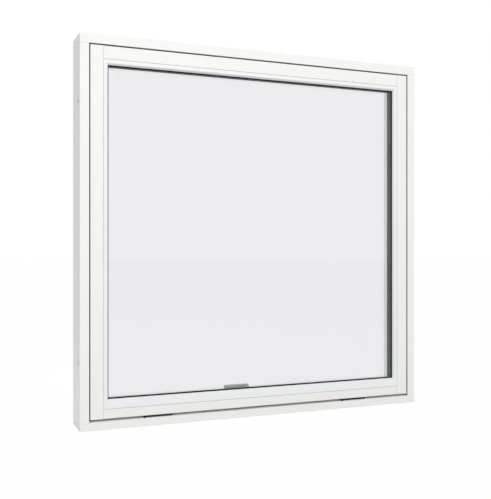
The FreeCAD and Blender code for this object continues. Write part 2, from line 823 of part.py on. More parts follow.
def make_operator_cover():
    """Shell over the gears, with a tilted boss for the shaft and slots for the arms."""
    half = base_half_length
    body = block(-half, half, base_front, base_back, base_top, cover_top)
    top_edges = [edge for edge in body.Edges if edge.BoundBox.ZMin > cover_top - 0.01]
    body = body.makeFillet(cover_edge, top_edges)
    body = body.fuse(rod(boss_radius, on_shaft(worm_half_length), shaft_axis,
                         boss_end - worm_half_length))
    room = block(-half + cover_wall, half - cover_wall, base_front + cover_wall,
                 base_back - cover_wall, base_top - 1, cover_top - cover_wall)
    body = body.cut(room)
    body = body.cut(rod(shaft_radius + running_clearance, on_shaft(0), shaft_axis, boss_end))
    slot = block(-half - 1, -cover_bridge, base_front - 1, arm_depth + arm_width / 2 + slot_room,
                 base_top - 1, arm_top + slot_headroom)
    body = body.cut(slot).cut(mirrored(slot))
    below = block(-half, half, base_front, base_back + boss_end, 0, base_top)
    return drilled(body.cut(below), cover_screws()).removeSplitter()


# ---------------------------------------------------------------- arm tracks on the sash
def arm_track_span():
    """From the closed tip to the open tip, with room for the button at both ends."""
    open_tip = arm_pivot + arm_length * math.cos(math.radians(arm_angle))
    return -arm_tip - button_radius - arm_track_margin, -open_tip + button_radius + arm_track_margin


def make_arm_track():
    wall = arm_track_wall
    leg = sash_back + wall
    near = arm_depth - arm_track_inner / 2
    far = arm_depth + arm_track_inner / 2
    ceiling = arm_track_top - wall
    section = [(sash_back, arm_track_leg_foot), (leg, arm_track_leg_foot), (leg, ceiling),
               (near - wall, ceiling), (near - wall, arm_track_wall_foot),
               (near, arm_track_wall_foot), (near, ceiling), (far, ceiling),
               (far, arm_track_wall_foot), (far + wall, arm_track_wall_foot),
               (far + wall, arm_track_top), (sash_back, arm_track_top)]
    first, last = arm_track_span()
    return along_x(section, first, last, {10: arm_track_wall / 2})


# ---------------------------------------------------------------- assembly
def build_frame():
    corner = frame_screw_set()
    sleeves = fixing_sleeves()
    left_track = track_screws()
    right_track = [mirrored(s) for s in left_track]
    base_fixings = base_screws()
    rounding = {0: soft_edge, 1: soft_edge, 2: soft_edge, 5: joint_edge}
    head, sill = make_head(rounding), make_sill(rounding)
    jamb_left = make_jamb()
    jamb_right = mirrored(jamb_left)
    holes = [rod(sleeve_radius, at(-half_width - 1, sleeve_depth, z), X_AXIS, jamb_face + 2)
             for z in sleeve_centres()]
    track_left = drilled(make_stay_track(), left_track)
    return {
        "frame_head": drilled(head, corner),
        "frame_sill": drilled(sill, corner + base_fixings),
        "frame_jamb_left": drilled(jamb_left, corner + holes + left_track),
        "frame_jamb_right": drilled(jamb_right, corner + [mirrored(h) for h in holes] + right_track),
        "frame_screws": group(corner),
        "fixing_sleeves": group(sleeves),
        "weather_seal": make_weather_seal(),
        "run_up_blocks": group([make_run_up_block(-run_up_offset), make_run_up_block(run_up_offset)]),
        "stay_track_left": track_left,
        "stay_track_right": mirrored(track_left),
        "stay_track_screws": group(left_track + right_track),
    }


def build_sash():
    bar_fixings = sash_bar_screws()
    track_fixings = arm_track_screws()
    bar_fixings_right = [mirrored(s) for s in bar_fixings]
    track_fixings_right = [mirrored(s) for s in track_fixings]
    stile = make_stile()
    stiles = [stile, mirrored(stile)]
    top_bead, bottom_bead = make_top_bead(), make_bottom_bead()
    side_bead_left = make_side_bead([top_bead, bottom_bead])
    first, second = cavity_depths()
    bar = drilled(make_sash_bar(), bar_fixings)
    track = drilled(make_arm_track(), track_fixings)
    return {
        "sash_stile_left": drilled(stiles[0], bar_fixings),
        "sash_stile_right": drilled(stiles[1], bar_fixings_right),
        "sash_top_rail": make_top_rail(stiles),
        "sash_bottom_rail": drilled(make_bottom_rail(stiles), track_fixings + track_fixings_right),
        "bead_top": top_bead,
        "bead_bottom": bottom_bead,
        "bead_left": side_bead_left,
        "bead_right": mirrored(side_bead_left),
        "glazing_gasket": make_glazing_gasket(),
        "glazing_tape": make_glazing_tape(),
        "glass_outer": make_pane(glass_front),
        "glass_middle": make_pane(first + cavity),
        "glass_inner": make_pane(second + cavity),
        "spacer_outer": make_spacer(first),
        "spacer_inner": make_spacer(second),
        "edge_sealant": group(make_edge_sealant()),
        "setting_blocks": group(make_setting_blocks()),
        "sash_bar_left": bar,
        "sash_bar_right": mirrored(bar),
        "sash_bar_screws": group(bar_fixings + bar_fixings_right),
        "arm_track_left": track,
        "arm_track_right": mirrored(track),
        "arm_track_screws": group(track_fixings + track_fixings_right),
    }


def build_stays():
    link, shoe = make_stay_link(), make_stay_shoe()
    return {
        "stay_link_left": link,
        "stay_link_right": mirrored(link),
        "stay_shoe_left": shoe,
        "stay_shoe_right": mirrored(shoe),
    }


def build_operator():
    arm, button, clip = make_arm(), make_button(), make_arm_clip()
    return {
        "operator_base": drilled(make_operator_base(), base_screws() + cover_screws()),
        "operator_cover": make_operator_cover(),
        "operator_base_screws": group(base_screws()),
        "operator_cover_screws": group(cover_screws()),
        "arm_clips": group([clip, mirrored(clip)]),
        "operator_arm_left": arm,
        "operator_arm_right": mirrored(arm),
        "arm_button_left": button,
        "arm_button_right": mirrored(button),
        "worm_shaft": make_worm_shaft(),
        "crank_arm": make_crank_arm(),
        "crank_screw": crank_screw_solid(),
        "knob_pin": knob_pin_solid(),
        "crank_knob": make_crank_knob(),
    }


def main():
    os.makedirs("parts", exist_ok=True)
    pieces = {}
    for build in (build_frame, build_sash, build_stays, build_operator):
        pieces.update(build())
    for name, shape in pieces.items():
        shape.exportStep(os.path.join("parts", name + ".step"))
        print("%-24s solids %2d  volume %12.1f  valid %s"
              % (name, len(shape.Solids), shape.Volume, shape.isValid()))


main()
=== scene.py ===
"""The looks of a crank window: a painted timber frame, a glazed sash that swings out on stays, and the
crank that moves it. The file is laid out as a Blender add-on, with one operator for each group of
pieces."""

import json
import math

import bmesh
import bpy
from bpy.props import FloatProperty, FloatVectorProperty, IntProperty, PointerProperty
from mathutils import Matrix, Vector


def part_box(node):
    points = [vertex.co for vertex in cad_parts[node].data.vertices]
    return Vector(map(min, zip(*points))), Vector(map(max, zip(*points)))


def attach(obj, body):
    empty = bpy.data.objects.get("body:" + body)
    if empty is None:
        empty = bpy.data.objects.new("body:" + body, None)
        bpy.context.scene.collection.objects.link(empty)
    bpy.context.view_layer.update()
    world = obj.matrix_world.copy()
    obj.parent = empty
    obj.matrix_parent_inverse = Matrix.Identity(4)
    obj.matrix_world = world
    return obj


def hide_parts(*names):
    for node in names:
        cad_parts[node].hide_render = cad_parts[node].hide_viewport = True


bl_info = {
    "name": "Crank Window",
    "version": (1, 0, 0),
    "blender": (4, 5, 0),
    "location": "View3D > Sidebar > Window",
    "description": "Builds a painted timber window whose sash swings out on stays, moved by a crank",
    "category": "Add Mesh",
}

# Lengths are in metres, angles in degrees.
REBATE_PAST_SASH = 0.006               # how far behind the sash the frame's faces with painted shade reach
GROOVE_SHARES = (0.3, 0.7)             # where the spacer's grooves lie in its width
GROOVE_FLOOR = 0.00045                 # how far outward the perforations lie from the spacer's face
KNOB_RADIUS = 0.0074
KNOB_BORE = 0.0031
KNOB_WIDEST = 0.62                     # share of the knob's height
SHANK_SHARE = 0.54                     # of a screw head's radius
WING_SHARE = 0.28                      # width of a wing of the recess, of its length
SAME_LEVEL = 1e-5
FLOOR_RADIUS = 30.0
FLOOR_DROP = 0.0005                    # below the window, so that the two don't share a plane
BRIGHT_SIDE = (0.42, -0.86, 0.3)
CAMERA_PLACE = (-0.9866, -2.3358, 0.5450)
CAMERA_TURN = -22.19
CAMERA_SHIFT = -0.0018

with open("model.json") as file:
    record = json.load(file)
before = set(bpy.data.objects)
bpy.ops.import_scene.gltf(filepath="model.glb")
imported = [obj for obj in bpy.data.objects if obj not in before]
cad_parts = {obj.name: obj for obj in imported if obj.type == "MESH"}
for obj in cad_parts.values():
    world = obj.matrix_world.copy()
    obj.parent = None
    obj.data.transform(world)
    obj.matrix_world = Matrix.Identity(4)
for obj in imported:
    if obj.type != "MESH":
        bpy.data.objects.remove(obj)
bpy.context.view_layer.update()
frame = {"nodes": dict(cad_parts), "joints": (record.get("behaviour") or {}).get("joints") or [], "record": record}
NODES = frame["nodes"]
BODY_OF = {node: body for body, nodes in frame["record"]["behaviour"]["bodies"].items() for node in nodes}


# ------------------------------------------------------------------ colours and nodes


def linear(code):
    """The linear RGBA colour of an sRGB hex code."""
    parts = [int(code[i : i + 2], 16) / 255 for i in (1, 3, 5)]
    return [c / 12.92 if c <= 0.04045 else ((c + 0.055) / 1.055) ** 2.4 for c in parts] + [1.0]


def shade(colour, share):
    """A colour at a share of its brightness."""
    return [c * share for c in colour[:3]] + [1.0]


def add(tree, kind, inputs=(), **settings):
    """Adds a node, sets its properties, and gives its inputs values or links by name or number."""
    made = tree.nodes.new(kind)
    for key, value in settings.items():
        setattr(made, key, value)
    for key, value in dict(inputs).items():
        several = isinstance(value, list) and isinstance(value[0], bpy.types.NodeSocket)
        for one in value if several else [value]:
            if isinstance(one, bpy.types.NodeSocket):
                tree.links.new(one, made.inputs[key])
            else:
                made.inputs[key].default_value = one
    return made


def colour_input(label, description, code):
    """A colour that a user may change."""
    return FloatVectorProperty(name=label, description=description, subtype="COLOR", size=4,
                               min=0.0, max=1.0, default=linear(code))


def length_input(label, description, default):
    """A length that a user may change, in metres."""
    return FloatProperty(name=label, description=description, unit="LENGTH", default=default,
                         min=0.0, precision=5)


# ------------------------------------------------------------------ settings


class TimberSettings(bpy.types.PropertyGroup):
    """Sizes and colours of the painted timber and its glazing beads."""

    paint: colour_input("Paint", "Opaque paint on the frame and the sash", "#F3F3F0")
    # painted shade: a grey colour on the rebate faces of the head and jambs, standing in for the shadow in the gap
    # round the sash
    painted_shade: colour_input("Primer", "Grey primer in the rebates of the head and jambs", "#9C9C98")
    # painted shade: a grey on the chamfers of the V joints round the beads, standing in for the shade in those
    # grooves
    joint: colour_input("Joint", "Sealant in the V joints round the glazing beads", "#C4C4C0")
    bead_coat: colour_input("Bead coat", "Powder coat on the glazing beads", "#F1F4F4")
    arris: length_input("Arris", "Width of the eased edges", 0.0007)
    grain: length_input("Grain", "Spacing of the growth rings that show through the paint", 0.005)


class GlazingSettings(bpy.types.PropertyGroup):
    """Sizes and colours of the glass unit and its rubbers."""

    tint: colour_input("Tint", "Colour of the light that one pane lets through", "#F9F9FA")
    rubber: colour_input("Rubber", "Gaskets and weather seal", "#101111")
    spacer: colour_input("Spacer", "Bars that hold the panes apart", "#565B5C")
    hole_pitch: length_input("Hole pitch", "Spacing of the perforations in the spacer bars", 0.008)
    hole: length_input("Hole", "Radius of a perforation", 0.0005)


class FittingSettings(bpy.types.PropertyGroup):
    """Sizes and colours of the stays, the crank operator and the screws."""

    zinc: colour_input("Zinc", "Plating on the steel parts", "#BFC3C5")
    operator_coat: colour_input("Operator", "Powder coat on the crank operator", "#A8B2B0")
    knob: colour_input("Knob", "Moulded crank knob", "#6A7171")
    nylon: colour_input("Nylon", "Shoes and buttons that slide in the tracks", "#DDD9CC")
    recess: FloatProperty(name="Recess", subtype="FACTOR", default=0.62, min=0.2, max=0.9,
                          description="Width of a screw's cross recess, as a share of its head")
    knob_sides: IntProperty(name="Knob steps", description="Steps round the crank knob", default=64, min=16,
                            max=128)


class StageSettings(bpy.types.PropertyGroup):
    """The camera, the floor and the studio light."""

    lens: FloatProperty(name="Lens", description="Focal length", unit="CAMERA", default=54.8, min=10.0)
    floor: colour_input("Floor", "Pale floor", "#E4E4E4")
    floor_glow: FloatProperty(name="Floor glow", subtype="FACTOR", default=0.97, min=0.0, max=1.0,
                              description="How much of the paper's look is light from below")
    fill: FloatProperty(name="Fill", description="Brightness of the studio's walls", default=0.72, min=0.0)
    slant: FloatProperty(name="Slant", description="How much brighter the studio is in front than behind",
                         default=0.10, min=0.0)
    front_watts: FloatProperty(name="Front lamp", unit="POWER", default=60.0, min=0.0,
                               description="Power of the lamp in front of and above the window")
    back_watts: FloatProperty(name="Back lamp", description="Power of the lamp on the room side",
                              unit="POWER", default=10.0, min=0.0)


# ------------------------------------------------------------------ materials


def new_material(name):
    """A material with one Principled shader, and where a point is on the piece."""
    material = bpy.data.materials.new(name)
    material.use_nodes = True
    tree = material.node_tree
    tree.nodes.clear()
    place = add(tree, "ShaderNodeTexCoord").outputs["Object"]
    shader = add(tree, "ShaderNodeBsdfPrincipled")
    add(tree, "ShaderNodeOutputMaterial", {"Surface": shader.outputs[0]})
    return material, tree, place, shader


def textured(name, colour, pattern, low, high, rough, bumps, **constants):
    """A material whose colour goes from a share low to a share high with the first pattern, and its
    roughness over rough. Patterns and bumps are (size in metres, stretch, detail, bump depth in metres)."""
    material, tree, place, shader = new_material(name)
    height = None
    fields = []
    for size, stretch, detail, depth in [pattern, *bumps]:
        turned = add(tree, "ShaderNodeMapping", {"Vector": place, "Scale": stretch})
        noise = add(tree, "ShaderNodeTexNoise", {"Vector": turned.outputs[0], "Scale": 1 / size,
                                                 "Detail": detail, "Roughness": 0.55})
        fields.append(noise.outputs[0])
        if depth:
            linked = {"Height": noise.outputs[0], "Distance": depth, "Strength": 1.0}
            if height:
                linked["Normal"] = height
            height = add(tree, "ShaderNodeBump", linked).outputs[0]
    spread = add(tree, "ShaderNodeMapRange", {0: fields[0], 1: 0.3, 2: 0.7, 3: 0.0, 4: 1.0})
    tone = add(tree, "ShaderNodeMix", {0: spread.outputs[0], 6: shade(colour, low), 7: shade(colour, high)},
               data_type="RGBA")
    gloss = add(tree, "ShaderNodeMapRange", {0: fields[-1], 1: 0.3, 2: 0.7, 3: rough[0], 4: rough[1]})
    tree.links.new(tone.outputs[2], shader.inputs["Base Color"])
    tree.links.new(gloss.outputs[0], shader.inputs["Roughness"])
    if height:
        tree.links.new(height, shader.inputs["Normal"])
    for label, value in constants.items():
        shader.inputs[label.replace("_", " ")].default_value = value
    return material


def sprayed_pine(name, paint, look, along):
    """Planed pine under factory-sprayed opaque paint: an even satin white. The eye sees long soft ridges
    where the hard growth rings stand under the paint, and a fine spray texture in the highlights."""
    stretch = (0.04, 1, 1) if along == "X" else (1, 1, 0.04)
    # the spray texture is under 1 mm, and is drawn at 2.5 mm so that it shows
    return textured(name, paint, (look.grain, stretch, 3, 0.00005), 0.972, 1.0, (0.34, 0.46),
                    [(0.0025, (1, 1, 1), 1, 0.00001)])


def painted_joint_shade(look):
    """Painted shade for the V joints: a dull, soft grey on the chamfers that meet there, a quiet line between two
    white pieces where the groove's shade falls.
    """
    return textured("painted_joint_shade", look.joint, (0.01, (1, 1, 1), 2, 0.0), 0.95, 1.0, (0.6, 0.75), [])


def powder_coated_bead(look):
    """Aluminium bead with a baked white powder coat: cooler and glossier than the paint, with a fine,
    even orange peel. The peel is about 1 mm, and is drawn at 2 mm so that it shows."""
    return textured("powder_coated_bead", look.bead_coat, (0.002, (1, 1, 1), 2, 0.00001), 0.985, 1.0,
                    (0.28, 0.36), [(0.03, (1, 1, 1), 1, 0.0)])


def extruded_epdm(name, look):
    """Extruded black rubber: matt and dense, with faint die lines and a grey bloom on its surface."""
    return textured(name, look.rubber, (0.006, (1, 1, 1), 3, 0.0), 0.8, 1.35, (0.55, 0.72),
                    [(0.0012, (1, 1, 1), 1, 0.00003)], Specular_IOR_Level=0.25)


def float_glass(look):
    """Float glass with a low-emissivity coat: clear, faintly grey, very slightly wavy from the rollers of
    the toughening furnace, whose pitch is about 0.3 m."""
    material, tree, place, shader = new_material("float_glass")
    wave = add(tree, "ShaderNodeTexNoise", {"Vector": place, "Scale": 1 / 0.3, "Detail": 0})
    bump = add(tree, "ShaderNodeBump", {"Height": wave.outputs[0], "Distance": 0.00002})
    tree.links.new(bump.outputs[0], shader.inputs["Normal"])
    shader.inputs["Base Color"].default_value = look.tint
    shader.inputs["Transmission Weight"].default_value = 1.0
    shader.inputs["Roughness"].default_value = 0.0
    shader.inputs["IOR"].default_value = 1.52
    return material


def extruded_spacer(look):
    """Warm-edge spacer of extruded grey polypropylene: satin, with fine lines along the bar."""
    return textured("extruded_spacer", look.spacer, (0.02, (1, 1, 1), 2, 0.0), 0.93, 1.07, (0.4, 0.55),
                    [(0.0008, (1, 1, 1), 1, 0.00002)])


def tooled_sealant():
    """Black polysulphide worked in by hand: rubbery, dull and slightly lumpy."""
    return textured("tooled_sealant", linear("#262828"), (0.015, (1, 1, 1), 3, 0.0002), 0.8, 1.2,
                    (0.6, 0.8), [])


def zinc_plated_steel(look):
    """Cold-rolled steel strip, electroplated with zinc and passivated: a cool, softly clouded metal with
    fine rolling lines."""
    return textured("zinc_plated_steel", look.zinc, (0.01, (1, 1, 1), 3, 0.0), 0.86, 1.0, (0.26, 0.42),
                    [(0.0012, (1, 1, 0.08), 2, 0.00001)], Metallic=1.0)


def anodised_aluminium():
    """Extruded aluminium with a matt natural anodised coat: pale silver with die lines along its length."""
    return textured("anodised_aluminium", linear("#C6C8C9"), (0.02, (0.1, 1, 1), 2, 0.0), 0.93, 1.0,
                    (0.32, 0.44), [(0.0009, (0.03, 1, 1), 1, 0.00001)], Metallic=1.0)


def moulded_nylon(look):
    """Injection-moulded natural polyamide: waxy off-white that light enters a little."""
    return textured("moulded_nylon", look.nylon, (0.006, (1, 1, 1), 2, 0.0), 0.94, 1.0, (0.38, 0.5),
                    [(0.001, (1, 1, 1), 1, 0.00001)], Subsurface_Weight=0.15, Subsurface_Scale=0.002)


def powder_coated_casting(look):
    """Die-cast zinc alloy with a grey powder coat: satin with a fine pebbled texture, drawn at 1.5 mm."""
    return textured("powder_coated_casting", look.operator_coat, (0.0015, (1, 1, 1), 2, 0.00003),
                    0.92, 1.03, (0.38, 0.5), [(0.02, (1, 1, 1), 1, 0.0)])


def moulded_abs(look):
    """Injection-moulded grey ABS with a spark-eroded matt texture, drawn at 1.2 mm."""
    return textured("moulded_abs", look.knob, (0.0012, (1, 1, 1), 1, 0.00002), 0.94, 1.04, (0.34, 0.46),
                    [(0.015, (1, 1, 1), 1, 0.0)])


def moulded_polyamide():
    """Injection-moulded black glass-filled polyamide: dull, with a faint grey flow pattern."""
    return textured("moulded_polyamide", linear("#1B1C1C"), (0.008, (1, 0.4, 1), 3, 0.0), 0.75, 1.3,
                    (0.42, 0.6), [(0.001, (1, 1, 1), 1, 0.00003)])


# ------------------------------------------------------------------ meshes


def new_object(name, mesh):
    """An object that shows a mesh."""
    made = bpy.data.objects.new(name, mesh)
    bpy.context.scene.collection.objects.link(made)
    return made


def settle(piece):
    """Turns what a piece's modifiers make into its plain mesh, and takes the modifiers off."""
    bpy.context.view_layer.update()
    shown = piece.evaluated_get(bpy.context.evaluated_depsgraph_get())
    mesh = bpy.data.meshes.new_from_object(shown)
    piece.modifiers.clear()
    piece.data = mesh
    return piece


def finish(piece, node, replaced=()):
    """Hands a finished piece over: it rides with the node's body and stands for the nodes it replaces."""
    if not piece.data.polygons:
        raise RuntimeError(f"{piece.name} came out empty")
    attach(piece, BODY_OF[node])
    if replaced:
        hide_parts(*replaced)


def merged(nodes):
    """One bmesh of copies of CAD nodes, with their loose triangles joined into flat faces."""
    work = bmesh.new()
    for node in nodes:
        work.from_mesh(NODES[node].data)
    bmesh.ops.remove_doubles(work, verts=work.verts, dist=1e-6)
    bmesh.ops.dissolve_limit(work, angle_limit=math.radians(0.3), verts=work.verts, edges=work.edges)
    return work


def eased(name, nodes, material, arris, others=()):
    """A piece with the shape of CAD nodes, its sharp arrises eased by a width that may be 0, shaded so that
    its flats stay flat. others are pairs: a material, and a test by middle and normal of the faces that
    take it."""
    work = merged(nodes)
    for face in work.faces:
        middle, normal = face.calc_center_median(), face.normal
        picked = [i + 1 for i in range(len(others)) if others[i][1](middle, normal)]
        face.material_index = picked[0] if picked else 0
    mesh = bpy.data.meshes.new(name)
    work.to_mesh(mesh)
    work.free()
    mesh.materials.append(material)
    for other, _ in others:
        mesh.materials.append(other)
    mesh.polygons.foreach_set("use_smooth", [True] * len(mesh.polygons))
    piece = new_object(name, mesh)
    if arris:
        bevel = piece.modifiers.new("Arris", "BEVEL")
        bevel.width, bevel.segments = arris, 2
        bevel.limit_method, bevel.angle_limit = "ANGLE", math.radians(35)
        bevel.use_clamp_overlap = False
    piece.modifiers.new("Flats", "WEIGHTED_NORMAL").keep_sharp = True
    settle(piece)
    finish(piece, nodes[0], nodes)
    return piece


def lathed(name, profile, centre, axis, steps, material):
    """A closed solid of revolution: profile is (radius, height) from its foot to its top, on the axis."""
    axis = Vector(axis).normalized()
    side = axis.orthogonal().normalized()
    other = axis.cross(side)
    work = bmesh.new()
    rings = []
    for radius, height in profile:
        turns = [math.tau * i / steps for i in range(steps)]
        rings.append([work.verts.new(Vector(centre) + axis * height
                                     + (side * math.cos(t) + other * math.sin(t)) * radius) for t in turns])
    for low, high in zip(rings, rings[1:]):
        for i in range(steps):
            work.faces.new((low[i], low[(i + 1) % steps], high[(i + 1) % steps], high[i]))
    work.faces.new(rings[0][::-1])
    work.faces.new(rings[-1])
    bmesh.ops.recalc_face_normals(work, faces=work.faces)
    mesh = bpy.data.meshes.new(name)
    work.to_mesh(mesh)
    work.free()
    mesh.materials.append(material)
    mesh.polygons.foreach_set("use_smooth", [True] * len(mesh.polygons))
    mesh.set_sharp_from_angle(angle=math.radians(40))
    return new_object(name, mesh)


def bar_width(node):
    """How wide the bars are of a CAD node that is a ring standing in X and Z."""
    sides = [v.co.x for v in NODES[node].data.vertices if v.co.x < 0]
    return max(sides) - min(sides)


def islands(node):
    """The separate solids of a CAD node, each as its lowest and highest corner and its points."""
    work = bmesh.new()
    work.from_mesh(NODES[node].data)
    bmesh.ops.remove_doubles(work, verts=work.verts, dist=1e-6)
    left = set(work.verts)
    found = []
    while left:
        group, edge = set(), [left.pop()]
        while edge:
            vert = edge.pop()
            group.add(vert)
            for other in (link.other_vert(vert) for link in vert.link_edges):
                if other in left:
                    left.discard(other)
                    edge.append(other)
        points = [v.co.copy() for v in group]
        low = Vector([min(p[i] for p in points) for i in range(3)])
        high = Vector([max(p[i] for p in points) for i in range(3)])
        found.append((low, high, points))
    work.free()
    return sorted(found, key=lambda part: tuple(part[0]))


# ------------------------------------------------------------------ node trees


def new_tree(name, sizes):
    """A geometry tree with one named input for each size, its input node and its links' ends."""
    tree = bpy.data.node_groups.new(name, "GeometryNodeTree")
    tree.interface.new_socket("Geometry", in_out="INPUT", socket_type="NodeSocketGeometry")
    for label in sizes:
        tree.interface.new_socket(label, in_out="INPUT", socket_type="NodeSocketFloat")
    tree.interface.new_socket("Finish", in_out="INPUT", socket_type="NodeSocketMaterial")
    tree.interface.new_socket("Geometry", in_out="OUTPUT", socket_type="NodeSocketGeometry")
    return tree, add(tree, "NodeGroupInput").outputs


def close_tree(tree, given, geometry):
    """Ends a tree: its instances are made real and given their finish."""
    real = add(tree, "GeometryNodeRealizeInstances", {"Geometry": geometry})
    coated = add(tree, "GeometryNodeSetMaterial",
                 {"Geometry": real.outputs[0], "Material": given["Finish"]})
    add(tree, "NodeGroupOutput", {0: coated.outputs[0]})
    return tree


def grown(name, mesh, tree, values):
    """An object whose plain mesh is what a tree makes from a mesh with these input values."""
    piece = new_object(name, mesh)
    modifier = piece.modifiers.new(tree.name, "NODES")
    modifier.node_group = tree
    for item in tree.interface.items_tree:
        if item.in_out == "INPUT" and item.name in values:
            modifier[item.identifier] = values[item.name]
    return settle(piece)


def rectangle(tree, given):
    """A rectangle standing in X and Z is drawn flat here, with its corners turned by a small radius."""
    drawn = add(tree, "GeometryNodeCurvePrimitiveQuadrilateral",
                {"Width": given["Width"], "Height": given["Height"]})
    return add(tree, "GeometryNodeFilletCurve",
               {"Curve": drawn.outputs[0], "Radius": given["Corner"], "Count": 6}, mode="POLY")


def stood_up(tree, given, geometry):
    """What was drawn flat is stood up and moved to its height."""
    lifted = add(tree, "ShaderNodeCombineXYZ", {"Z": given["Centre"]})
    return add(tree, "GeometryNodeTransform", {"Geometry": geometry, "Translation": lifted.outputs[0],
                                               "Rotation": (math.pi / 2, 0, 0)})


def sweep_tree():
    """The object's own outline, as outward and depth, swept round a standing rectangle."""
    tree, given = new_tree("Sweep round a rectangle", ["Width", "Height", "Corner", "Centre"])
    path = rectangle(tree, given)
    level = add(tree, "GeometryNodeSetCurveNormal", {"Curve": path.outputs[0]}, mode="Z_UP")
    profile = add(tree, "GeometryNodeMeshToCurve", {"Mesh": given["Geometry"]})
    shell = add(tree, "GeometryNodeCurveToMesh",
                {"Curve": level.outputs[0], "Profile Curve": profile.outputs[0]})
    return close_tree(tree, given, stood_up(tree, given, shell.outputs[0]).outputs[0])


def perforation_tree():
    """Rows of thin discs at an even pitch round a standing rectangle, drawn dark as painted shade for small holes:
    one row for each of the object's points."""
    tree, given = new_tree("Perforations", ["Width", "Height", "Corner", "Centre", "Pitch", "Hole"])
    path = rectangle(tree, given)
    level = add(tree, "GeometryNodeSetCurveNormal", {"Curve": path.outputs[0]}, mode="Z_UP")
    spaced = add(tree, "GeometryNodeCurveToPoints", {"Curve": level.outputs[0], "Length": given["Pitch"]},
                 mode="LENGTH")
    facing = add(tree, "FunctionNodeAlignRotationToVector", {"Vector": spaced.outputs["Normal"]}, axis="Z")
    cup = add(tree, "GeometryNodeMeshCylinder", {"Vertices": 8, "Radius": given["Hole"], "Depth": 0.0001})
    holes = add(tree, "GeometryNodeInstanceOnPoints",
                {"Points": spaced.outputs[0], "Instance": cup.outputs[0], "Rotation": facing.outputs[0]})
    standing = stood_up(tree, given, holes.outputs[0])
    rows = add(tree, "GeometryNodeInstanceOnPoints",
               {"Points": given["Geometry"], "Instance": standing.outputs[0]})
    return close_tree(tree, given, rows.outputs[0])


def screw_tree():
    """Countersunk screws with a cross recess at the object's points, each head facing the way its point
    says."""
    tree, given = new_tree("Screws", ["Head", "Foot", "Head Depth", "Head Foot", "Shank", "Length",
                                      "Recess", "Recess Depth"])
    head = add(tree, "GeometryNodeMeshCone",
               {"Vertices": 32, "Radius Top": given["Head"], "Radius Bottom": given["Foot"],
                "Depth": given["Head Depth"]})
    low = add(tree, "ShaderNodeCombineXYZ", {"Z": given["Head Foot"]})
    placed = add(tree, "GeometryNodeTransform",
                 {"Geometry": head.outputs[0], "Translation": low.outputs[0]})
    top = add(tree, "ShaderNodeMath", {0: given["Head Foot"], 1: given["Head Depth"]}, operation="ADD")
    centre = add(tree, "ShaderNodeCombineXYZ", {"Z": top.outputs[0]})
    narrow = add(tree, "ShaderNodeMath", {0: given["Recess"], 1: WING_SHARE}, operation="MULTIPLY")
    deep = add(tree, "ShaderNodeMath", {0: given["Recess Depth"], 1: 2.0}, operation="MULTIPLY")
    wings = []
    for order in ((given["Recess"], narrow.outputs[0]), (narrow.outputs[0], given["Recess"])):
        size = add(tree, "ShaderNodeCombineXYZ", {"X": order[0], "Y": order[1], "Z": deep.outputs[0]})
        cube = add(tree, "GeometryNodeMeshCube", {"Size": size.outputs[0]})
        wings.append(add(tree, "GeometryNodeTransform", {"Geometry": cube.outputs[0],
                                                         "Translation": centre.outputs[0]}).outputs[0])
    cut = add(tree, "GeometryNodeMeshBoolean", {0: placed.outputs[0], 1: wings}, operation="DIFFERENCE")
    shank = add(tree, "GeometryNodeMeshCylinder",
                {"Vertices": 16, "Radius": given["Shank"], "Depth": given["Length"]})
    half = add(tree, "ShaderNodeMath", {0: given["Length"], 1: -0.5}, operation="MULTIPLY")
    down = add(tree, "ShaderNodeMath", {0: half.outputs[0], 1: given["Head Foot"]}, operation="ADD")
    below = add(tree, "ShaderNodeCombineXYZ", {"Z": down.outputs[0]})
    hung = add(tree, "GeometryNodeTransform",
               {"Geometry": shank.outputs[0], "Translation": below.outputs[0]})
    whole = add(tree, "GeometryNodeJoinGeometry", {0: [cut.outputs[0], hung.outputs[0]]})
    way = add(tree, "GeometryNodeInputNamedAttribute", {"Name": "out"}, data_type="FLOAT_VECTOR")
    facing = add(tree, "FunctionNodeAlignRotationToVector", {"Vector": way.outputs[0]}, axis="Z")
    angle = add(tree, "FunctionNodeRandomValue", {2: 0.0, 3: math.pi / 2, "Seed": 7}, data_type="FLOAT")
    turn = add(tree, "ShaderNodeCombineXYZ", {"Z": angle.outputs[1]})
    spin = add(tree, "FunctionNodeEulerToRotation", {0: turn.outputs[0]})
    driven = add(tree, "FunctionNodeRotateRotation", {0: facing.outputs[0], 1: spin.outputs[0]},
                 rotation_space="LOCAL")
    set_in = add(tree, "GeometryNodeInstanceOnPoints",
                 {"Points": given["Geometry"], "Instance": whole.outputs[0],
                  "Rotation": driven.outputs[0]})
    return close_tree(tree, given, set_in.outputs[0])


def outline_mesh(name, points):
    """A closed outline as a mesh of edges, with outward along X and depth along Y."""
    mesh = bpy.data.meshes.new(name)
    count = len(points)
    mesh.from_pydata([(x, y, 0) for x, y in points], [(i, (i + 1) % count) for i in range(count)], [])
    return mesh


def swept(name, points, low, high, corner, material):
    """A profile round the rectangle from low to high, given as distances outward from it and depths."""
    values = {"Width": high.x - low.x, "Height": high.z - low.z, "Corner": corner,
              "Centre": (high.z + low.z) / 2, "Finish": material}
    piece = grown(name, outline_mesh(name, points), sweep_tree(), values)
    work = bmesh.new()
    work.from_mesh(piece.data)
    bmesh.ops.remove_doubles(work, verts=work.verts, dist=1e-6)
    bmesh.ops.recalc_face_normals(work, faces=work.faces)
    work.to_mesh(piece.data)
    work.free()
    piece.data.polygons.foreach_set("use_smooth", [True] * len(piece.data.polygons))
    piece.data.set_sharp_from_angle(angle=math.radians(38))
    return piece


def straight_sight(tree):
    """1 for what is looked at straight or through glass, and 0 for what only lights the window."""
    path = add(tree, "ShaderNodeLightPath").outputs
    return add(tree, "ShaderNodeMath", {0: path["Is Camera Ray"], 1: path["Is Transmission Ray"]},
               operation="MAXIMUM").outputs[0]


# ------------------------------------------------------------------ operators


class WindowOperator:
    """What every operator of this add-on shares."""

    bl_options = {"REGISTER", "UNDO"}


